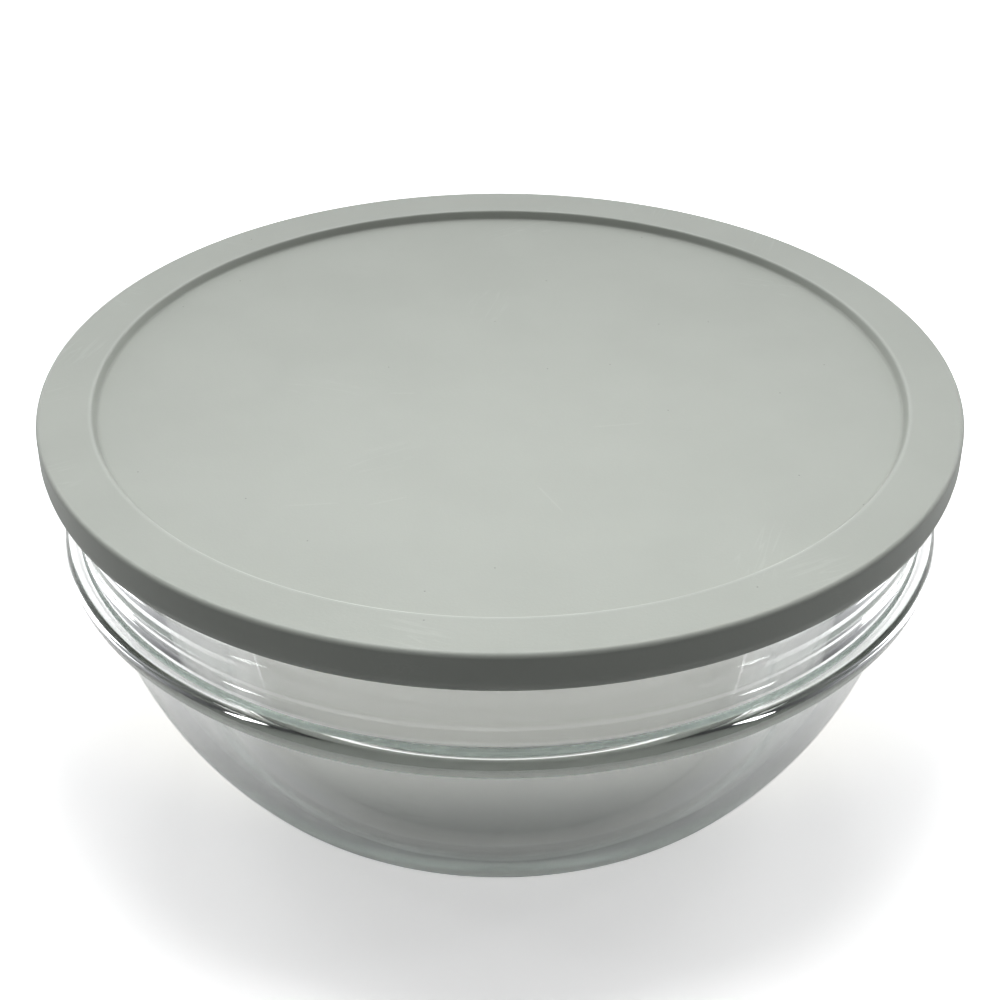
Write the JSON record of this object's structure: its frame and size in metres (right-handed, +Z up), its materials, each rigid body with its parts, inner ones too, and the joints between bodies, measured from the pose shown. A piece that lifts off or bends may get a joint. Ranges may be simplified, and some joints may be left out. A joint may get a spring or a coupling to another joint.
{
  "type": "prep bowl",
  "caption": "Round clear-glass prep bowl with a rounded body, flat foot and stacking ledge under the rim, closed by a grey press-on plastic lid with a shallow recessed top.",
  "frame": {"origin": "centre of the foot, on the surface that the bowl stands on", "axes": "+Z up along the bowl's axis of revolution; X and Y are any two directions across it"},
  "size_m": [0.146, 0.146, 0.063],
  "materials": {
    "clear_glass": "clear tempered soda-lime glass, fire-polished, faint green in thick places",
    "grey_plastic": "satin light grey polyethylene with a fine moulded grain"
  },
  "bodies": {
    "bowl": {"glass_bowl": "clear_glass"},
    "lid": {"snap_lid": "grey_plastic"}
  },
  "joints": [
    {"name": "lid_lift", "type": "slide", "parent": "bowl", "child": "lid", "axis": [0, 0, 1], "range_m": [0, 0.08]}
  ]
}
